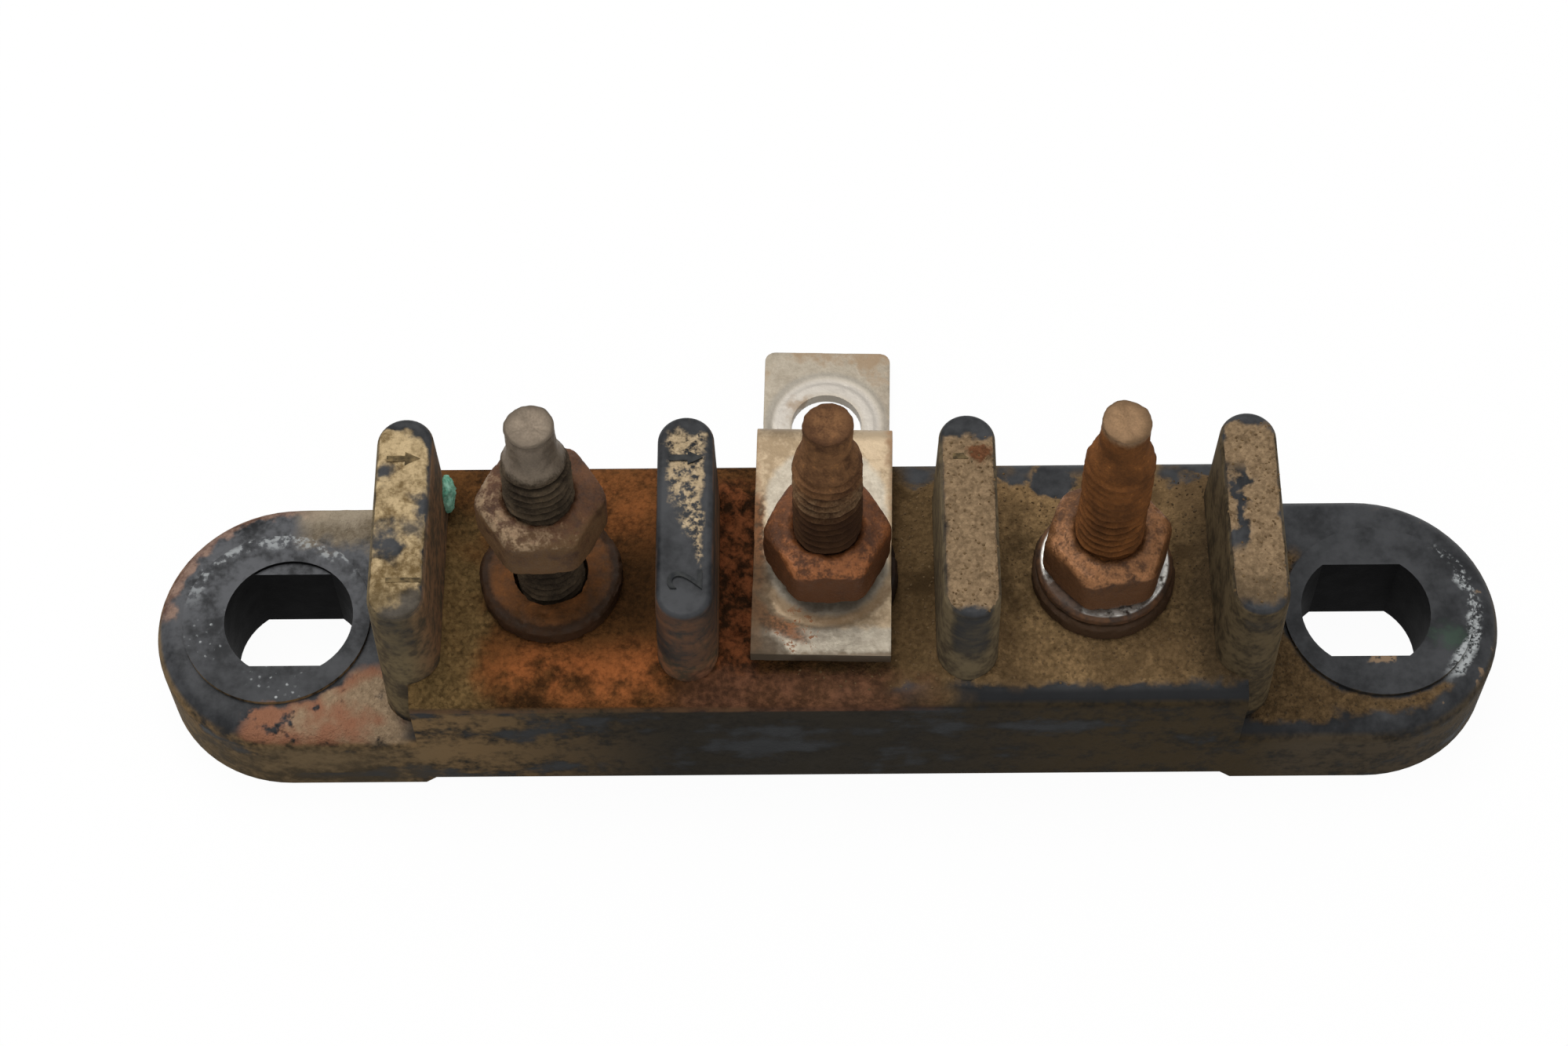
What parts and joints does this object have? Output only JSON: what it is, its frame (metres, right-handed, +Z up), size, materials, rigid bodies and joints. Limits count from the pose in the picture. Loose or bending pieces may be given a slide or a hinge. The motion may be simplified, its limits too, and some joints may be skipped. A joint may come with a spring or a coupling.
{
  "type": "terminal block",
  "caption": "Weathered stud terminal block: black moulded base with end ears and upright barriers, rusted threaded studs with nuts and washers, and a bent link bar on the middle stud.",
  "frame": {"origin": "midway between the two mounting holes, on the plane that the ears are screwed down to", "axes": "+X along the row of studs to the right, +Y to the back where the link bar's tab lies, +Z up along the studs"},
  "size_m": [0.12, 0.0446, 0.0416],
  "materials": {
    "moulding": "moulded, dirty, rust stained",
    "stud_steel": "rusted thread",
    "contact_washer": "dark, corroded",
    "zinc_washer": "worn plating",
    "rusted_nut": "rusted",
    "link_plate": "stained plating"
  },
  "bodies": {
    "root": {"base": "moulding", "stud_left": "stud_steel", "stud_middle": "stud_steel", "stud_right": "stud_steel", "contact_washer_left": "contact_washer", "contact_washer_middle": "contact_washer", "contact_washer_right": "contact_washer", "flat_washer_right": "zinc_washer", "nut_left": "rusted_nut", "nut_middle": "rusted_nut", "nut_right": "rusted_nut", "link_bar": "link_plate"}
  },
  "joints": []
}
